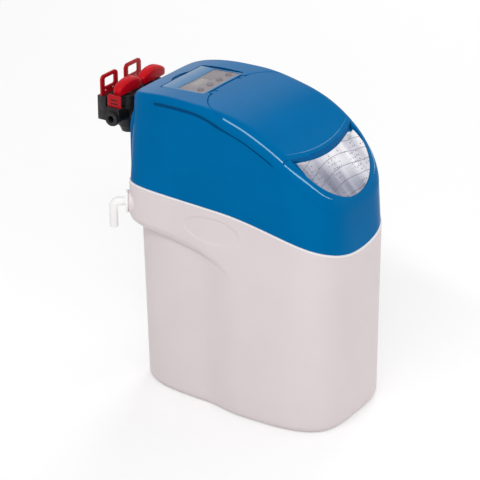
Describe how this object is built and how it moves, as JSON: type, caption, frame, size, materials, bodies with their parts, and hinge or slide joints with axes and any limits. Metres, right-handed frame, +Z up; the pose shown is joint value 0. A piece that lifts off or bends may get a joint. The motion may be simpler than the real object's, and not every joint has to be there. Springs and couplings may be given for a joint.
{
  "type": "water softener",
  "caption": "Compact cabinet water softener with a white brine tank, curved blue cover, hinged salt lid, display, control valve, and a rear bypass with quarter-turn handles.",
  "frame": {"origin": "middle of the cabinet on the floor, under the crossing of its widest lines", "axes": "+Z up, the front with the window looks along -Y, the plumbing is at +Y"},
  "size_m": [0.2333, 0.4615, 0.508],
  "materials": {
    "white_plastic": "satin moulded",
    "inner_white": "plain moulded",
    "blue_plastic": "glossy moulded",
    "silver_film": "silver printed film",
    "lcd_glass": "clear window over a grey display",
    "board": "circuit board",
    "black_plastic": "satin moulded",
    "red_plastic": "glossy moulded",
    "red_clip": "glossy moulded",
    "grey_plastic": "satin moulded",
    "steel": "zinc plated",
    "rubber": "matte"
  },
  "bodies": {
    "cabinet": {"brine_tank": "white_plastic", "riser_tube": "inner_white", "lower_strainer": "inner_white", "brine_tube": "inner_white", "brine_well": "inner_white", "brine_well_cap": "inner_white", "brine_pickup": "inner_white", "top_cover": "blue_plastic", "rear_plate": "blue_plastic", "display_panel": "blue_plastic", "hinge_lugs": "blue_plastic", "window_plate": "silver_film", "display_overlay": "silver_film", "lcd_lens": "lcd_glass", "control_board": "board", "valve_body": "black_plastic", "valve_end_cap": "black_plastic", "bypass_body": "black_plastic", "rotor_caps": "black_plastic", "side_adapter": "black_plastic", "resin_vessel": "grey_plastic", "injector_cap": "grey_plastic", "drain_barb": "grey_plastic", "brine_fitting": "grey_plastic", "air_check": "grey_plastic", "drive_motor": "grey_plastic", "motor_bracket": "steel", "port_seals": "rubber", "overflow_gasket": "rubber"},
    "lid": {"salt_lid": "blue_plastic", "hinge_rod": "steel"},
    "inlet_valve": {"inlet_rotor": "grey_plastic", "inlet_handle": "red_plastic", "inlet_screw": "steel"},
    "outlet_valve": {"outlet_rotor": "grey_plastic", "outlet_handle": "red_plastic", "outlet_screw": "steel"},
    "inlet_lock": {"inlet_clip": "red_clip"},
    "outlet_lock": {"outlet_clip": "red_clip"},
    "side_lock": {"side_clip": "red_clip"},
    "overflow": {"overflow_elbow": "white_plastic", "overflow_nut": "white_plastic"},
    "float": {"brine_float": "inner_white"},
    "shuttle": {"piston": "inner_white"},
    "pinion": {"drive_gear": "inner_white"},
    "button_1": {"key_1": "silver_film"},
    "button_2": {"key_2": "silver_film"},
    "button_3": {"key_3": "silver_film"},
    "button_4": {"key_4": "silver_film"}
  },
  "joints": [
    {"name": "lid_hinge", "type": "hinge", "parent": "cabinet", "child": "lid", "pos_m": [0, 0.0627, 0.50415], "axis": [-1, 0, 0], "range_deg": [0, 80]},
    {"name": "inlet_turn", "type": "hinge", "parent": "cabinet", "child": "inlet_valve", "pos_m": [-0.0315, 0.2295, 0.439], "axis": [0, 0, 1], "range_deg": [0, 90]},
    {"name": "outlet_turn", "type": "hinge", "parent": "cabinet", "child": "outlet_valve", "pos_m": [0.0315, 0.2295, 0.439], "axis": [0, 0, 1], "range_deg": [0, 90]},
    {"name": "inlet_clip_pull", "type": "slide", "parent": "cabinet", "child": "inlet_lock", "axis": [0, 0, 1], "range_m": [0, 0.04]},
    {"name": "outlet_clip_pull", "type": "slide", "parent": "cabinet", "child": "outlet_lock", "axis": [0, 0, 1], "range_m": [0, 0.04]},
    {"name": "side_clip_pull", "type": "slide", "parent": "cabinet", "child": "side_lock", "axis": [0, 0, 1], "range_m": [0, 0.022]},
    {"name": "overflow_swivel", "type": "hinge", "parent": "cabinet", "child": "overflow", "pos_m": [-0.09707, 0.18257, 0.317], "axis": [-0.5474, 0.8369, 0], "range_deg": [-90, 90]},
    {"name": "float_rise", "type": "slide", "parent": "cabinet", "child": "float", "axis": [0, 0, 1], "range_m": [0, 0.06]},
    {"name": "piston_shift", "type": "slide", "parent": "cabinet", "child": "shuttle", "axis": [0, 1, 0], "range_m": [0, 0.0238]},
    {"name": "pinion_turn", "type": "hinge", "parent": "cabinet", "child": "pinion", "pos_m": [0.0157, 0.003, 0.439], "axis": [0, 0, -1], "range_deg": [0, 130]},
    {"name": "key_press_1", "type": "slide", "parent": "cabinet", "child": "button_1", "axis": [0, -0.0436, -0.999], "range_m": [0, 0.0008], "stiffness_N_per_m": 600},
    {"name": "key_press_2", "type": "slide", "parent": "cabinet", "child": "button_2", "axis": [0, -0.0436, -0.999], "range_m": [0, 0.0008], "stiffness_N_per_m": 600},
    {"name": "key_press_3", "type": "slide", "parent": "cabinet", "child": "button_3", "axis": [0, -0.0436, -0.999], "range_m": [0, 0.0008], "stiffness_N_per_m": 600},
    {"name": "key_press_4", "type": "slide", "parent": "cabinet", "child": "button_4", "axis": [0, -0.0436, -0.999], "range_m": [0, 0.0008], "stiffness_N_per_m": 600}
  ],
  "couplings": [
    {"joint": "pinion_turn", "follows": "piston_shift", "rad_per_m": 95.238}
  ]
}
